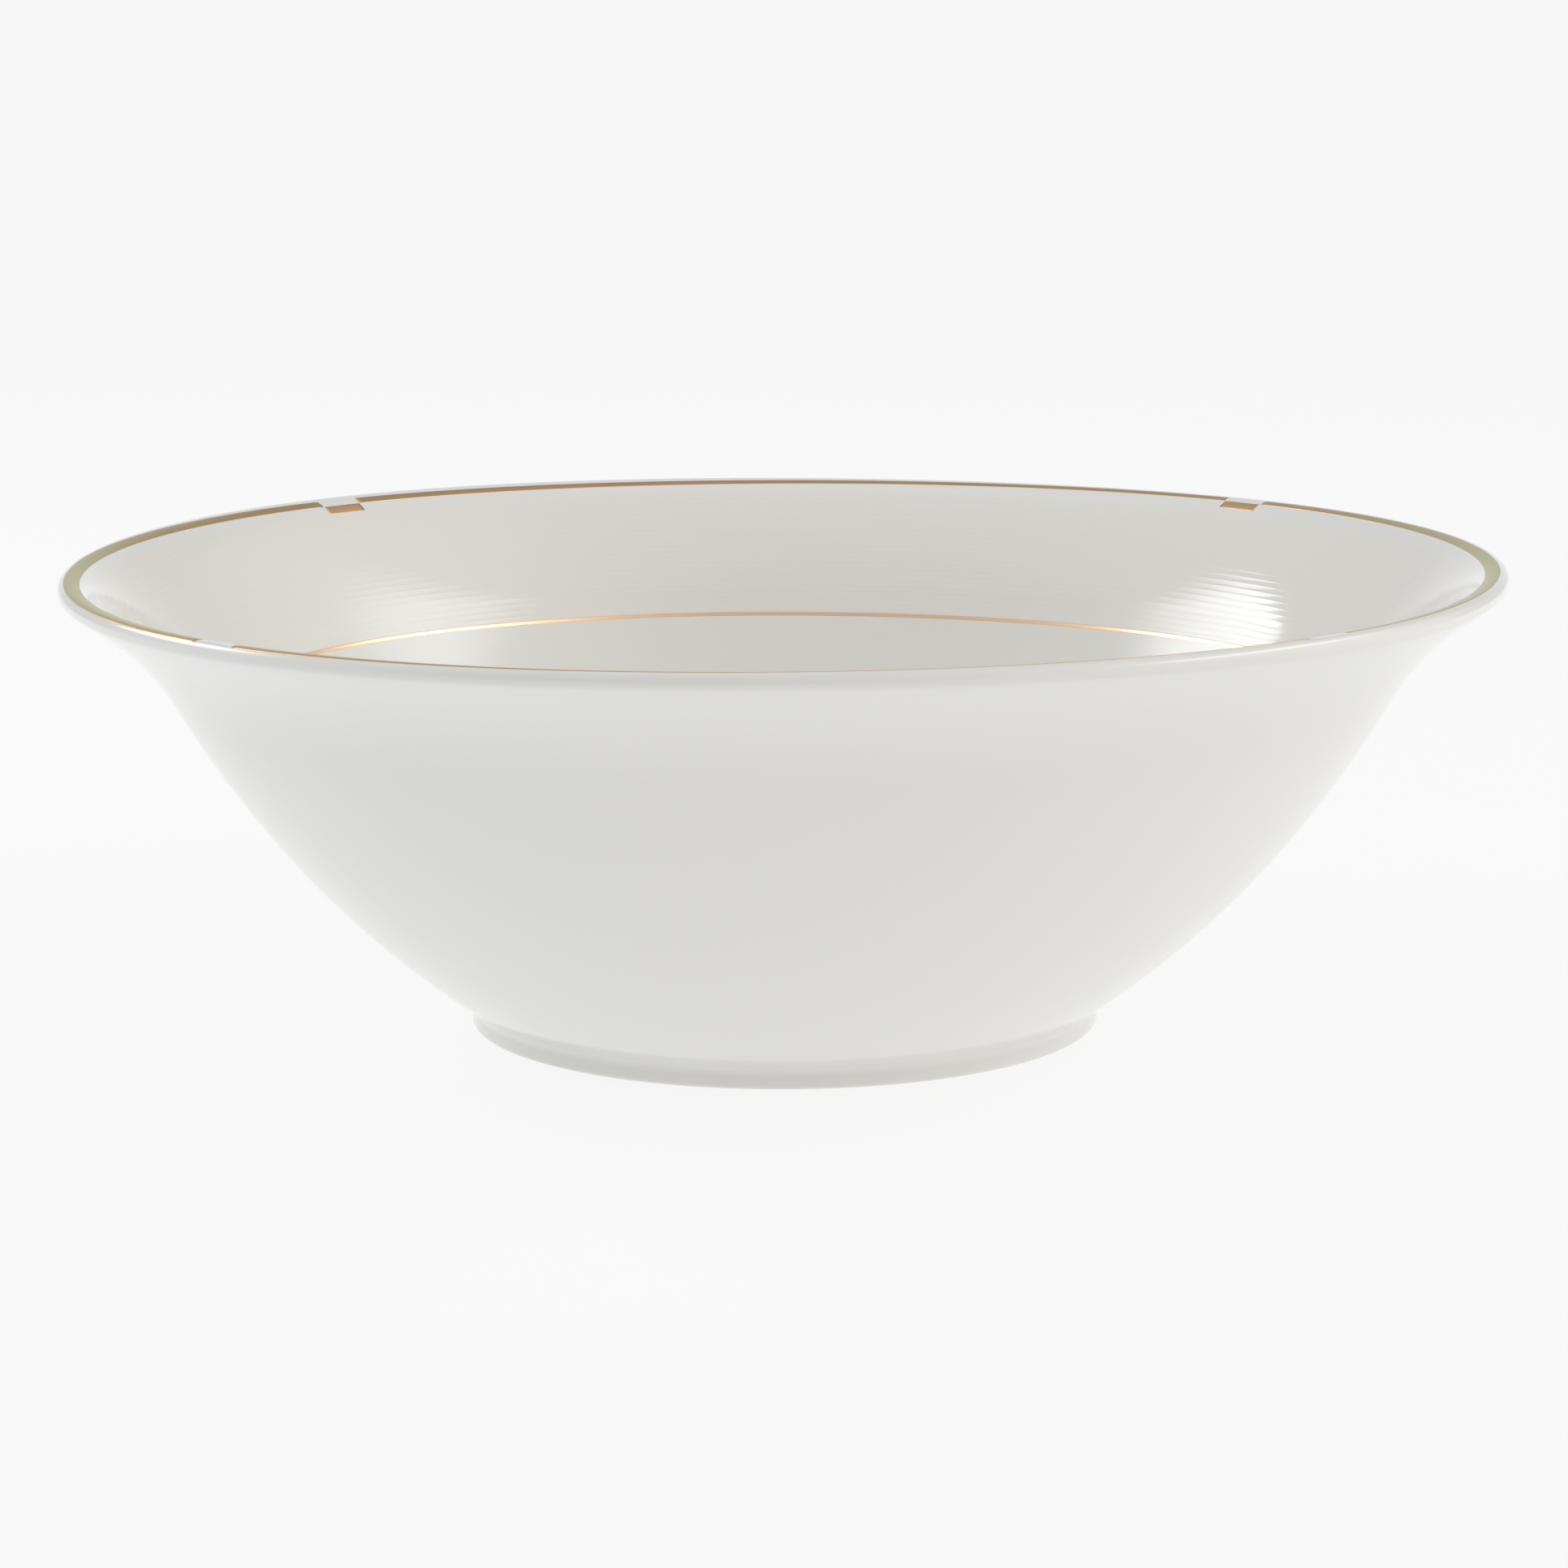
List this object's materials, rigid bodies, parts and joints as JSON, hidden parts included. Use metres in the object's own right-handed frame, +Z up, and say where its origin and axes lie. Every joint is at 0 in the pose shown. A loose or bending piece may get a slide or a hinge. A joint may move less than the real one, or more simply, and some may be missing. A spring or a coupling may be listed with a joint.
{
  "type": "serving bowl",
  "caption": "Round white porcelain serving bowl with a flared rim, low foot ring, broken gold rim band with stepped blocks, fine ring print and gold inner line.",
  "frame": {"origin": "centre of the plane that the foot ring stands on", "axes": "+Z up along the bowl's axis of revolution, towards the open mouth; -Y is the side nearest the viewer, +X to the viewer's right"},
  "size_m": [0.25, 0.25, 0.0811],
  "materials": {
    "porcelain": "clear gloss glaze over warm white porcelain, bare only on the foot ring's bearing face",
    "gold": "thin fired gold, burnished, pale at a glancing view",
    "ring_print": "fine raised rings of clear to pearl white print under the gloss"
  },
  "bodies": {
    "root": {"porcelain_body": "porcelain", "rim_gold_arc_1": "gold", "rim_gold_arc_2": "gold", "rim_gold_arc_3": "gold", "rim_gold_arc_4": "gold", "rim_gold_block_1": "gold", "rim_gold_block_2": "gold", "rim_gold_block_3": "gold", "rim_gold_block_4": "gold", "ring_print": "ring_print", "shoulder_gold_line": "gold"}
  },
  "joints": []
}
